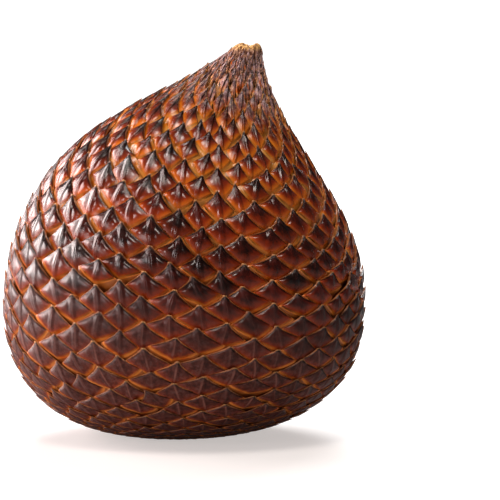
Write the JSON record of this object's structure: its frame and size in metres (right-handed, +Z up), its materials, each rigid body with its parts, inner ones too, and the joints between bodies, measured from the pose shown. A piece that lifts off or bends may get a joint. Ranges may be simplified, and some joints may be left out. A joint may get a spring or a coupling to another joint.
{
  "type": "snake fruit",
  "caption": "Whole snake fruit (salak): a round body under overlapping pointed scales, drawn up to a leaning, level-cut stalk end, standing on a small flat spot.",
  "frame": {"origin": "on the plane the fruit stands on, under the middle of its bounding box", "axes": "+Z up from the flat spot to the stalk end, +X to the side the stalk end leans to"},
  "size_m": [0.0612, 0.0612, 0.0659],
  "materials": {
    "scaly_skin": "glossy dark red-brown scales with orange-brown margins, drier and greyer at the points and the stalk end"
  },
  "bodies": {
    "root": {"snake_fruit": "scaly_skin"}
  },
  "joints": []
}
